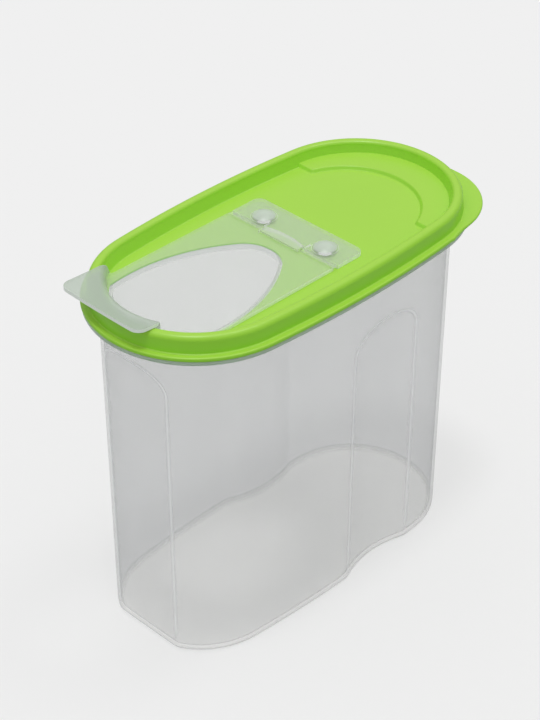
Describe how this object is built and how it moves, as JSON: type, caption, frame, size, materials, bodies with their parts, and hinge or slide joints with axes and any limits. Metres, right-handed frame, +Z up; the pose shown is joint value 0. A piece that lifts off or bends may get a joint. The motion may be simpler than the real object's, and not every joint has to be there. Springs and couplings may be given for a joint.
{
  "type": "cereal container with flip spout",
  "caption": "Tall oval storage container with side grips and a press-fit lid whose hinged flap, with a pull lip, covers the pour opening.",
  "frame": {"origin": "centre of the flat base of the container", "axes": "+Z up, -X towards the pour lip, +X towards the lid's pull tab"},
  "size_m": [0.2133, 0.11, 0.1899],
  "materials": {
    "clear_natural_plastic": "frosted translucent polypropylene, fine moulded sheen",
    "green_plastic": "satin yellow-green polypropylene",
    "natural_plastic": "frosted translucent polypropylene"
  },
  "bodies": {
    "container": {"container": "clear_natural_plastic"},
    "lid": {"lid": "green_plastic", "hinge_plate": "natural_plastic", "hinge_webs": "natural_plastic", "snap_strap": "natural_plastic"},
    "flap": {"flap": "natural_plastic"}
  },
  "joints": [
    {"name": "lid_lift", "type": "slide", "parent": "container", "child": "lid", "axis": [0, 0, 1], "range_m": [0, 0.05]},
    {"name": "flap_hinge", "type": "hinge", "parent": "lid", "child": "flap", "pos_m": [0.001, 0, 0.18113], "axis": [0, 1, 0], "range_deg": [0, 120]}
  ]
}
